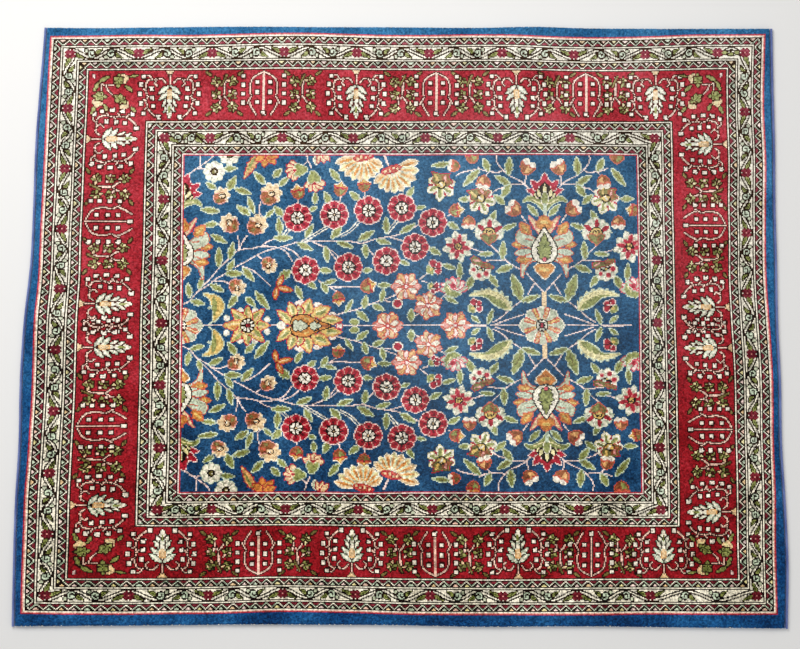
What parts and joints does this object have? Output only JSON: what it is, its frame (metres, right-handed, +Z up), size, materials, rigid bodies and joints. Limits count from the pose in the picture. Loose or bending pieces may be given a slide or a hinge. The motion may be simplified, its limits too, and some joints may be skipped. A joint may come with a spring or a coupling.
{
  "type": "persian rug",
  "caption": "Flat knotted-pile rug with overcast side edges, lying on the floor on its woven underside.",
  "frame": {"origin": "middle of the underside, at the centre of the rug's bounding rectangle", "axes": "+X along the rug's length, +Y across it from its lower end to its upper end (the design's trees stand on the left), +Z up out of the pile"},
  "size_m": [1.5278, 1.206, 0.01],
  "materials": {
    "pile_wool": "knotted wool pile, matte",
    "overcast_wool": "wrapped wool yarn, matte"
  },
  "bodies": {
    "root": {"rug_body": "pile_wool", "overcast_left": "overcast_wool", "overcast_right": "overcast_wool"}
  },
  "joints": []
}
